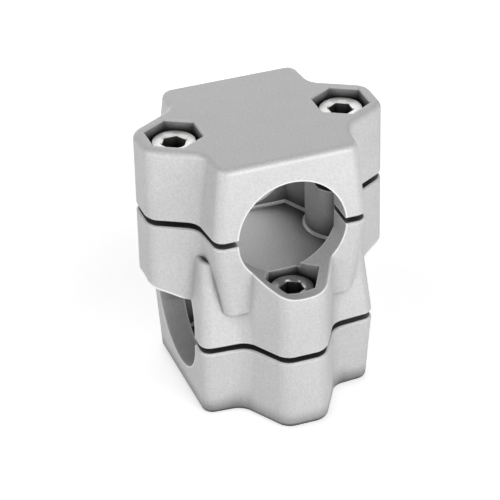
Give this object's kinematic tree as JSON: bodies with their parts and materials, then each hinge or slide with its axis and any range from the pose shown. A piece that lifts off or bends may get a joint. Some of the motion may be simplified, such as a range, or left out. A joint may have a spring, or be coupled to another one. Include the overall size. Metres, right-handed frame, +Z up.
{
  "type": "cross clamp block",
  "caption": "Cast two-way clamp block that grips two round tubes crossing at a right angle, one above the other, between halves drawn together by socket head screws.",
  "frame": {"origin": "centre of the bounding box at the flat bottom face", "axes": "+Z up through the block, +Y along the upper bore, +X along the lower bore"},
  "size_m": [0.067, 0.067, 0.078],
  "materials": {
    "cast_aluminium": "blasted matte die casting",
    "screw_steel": "zinc plated, turned and knurled",
    "nut_steel": "zinc plated"
  },
  "bodies": {
    "lower_clamp": {"lower_clamp_half": "cast_aluminium", "lower_nut_front": "nut_steel", "lower_nut_back": "nut_steel"},
    "middle": {"middle_body": "cast_aluminium", "upper_nut_left": "nut_steel", "upper_nut_right": "nut_steel"},
    "upper_clamp": {"upper_clamp_half": "cast_aluminium"},
    "front_screw": {"lower_screw_front": "screw_steel"},
    "back_screw": {"lower_screw_back": "screw_steel"},
    "left_screw": {"upper_screw_left": "screw_steel"},
    "right_screw": {"upper_screw_right": "screw_steel"}
  },
  "joints": [
    {"name": "lower_clamping", "type": "slide", "parent": "lower_clamp", "child": "middle", "axis": [0, 0, 1], "range_m": [-0.0015, 0.004]},
    {"name": "upper_clamping", "type": "slide", "parent": "middle", "child": "upper_clamp", "axis": [0, 0, 1], "range_m": [-0.0015, 0.004]},
    {"name": "front_screw_turn", "type": "hinge", "parent": "middle", "child": "front_screw", "pos_m": [0, -0.0235, 0], "axis": [0, 0, 1], "range_deg": [-433, 1153]},
    {"name": "back_screw_turn", "type": "hinge", "parent": "middle", "child": "back_screw", "pos_m": [0, 0.0235, 0], "axis": [0, 0, 1], "range_deg": [-433, 1153]},
    {"name": "left_screw_turn", "type": "hinge", "parent": "upper_clamp", "child": "left_screw", "pos_m": [-0.0235, 0, 0], "axis": [0, 0, 1], "range_deg": [-433, 1153]},
    {"name": "right_screw_turn", "type": "hinge", "parent": "upper_clamp", "child": "right_screw", "pos_m": [0.0235, 0, 0], "axis": [0, 0, 1], "range_deg": [-433, 1153]}
  ],
  "couplings": [
    {"joint": "front_screw_turn", "follows": "lower_clamping", "rad_per_m": 5026.5},
    {"joint": "back_screw_turn", "follows": "lower_clamping", "rad_per_m": 5026.5},
    {"joint": "left_screw_turn", "follows": "upper_clamping", "rad_per_m": 5026.5},
    {"joint": "right_screw_turn", "follows": "upper_clamping", "rad_per_m": 5026.5}
  ]
}
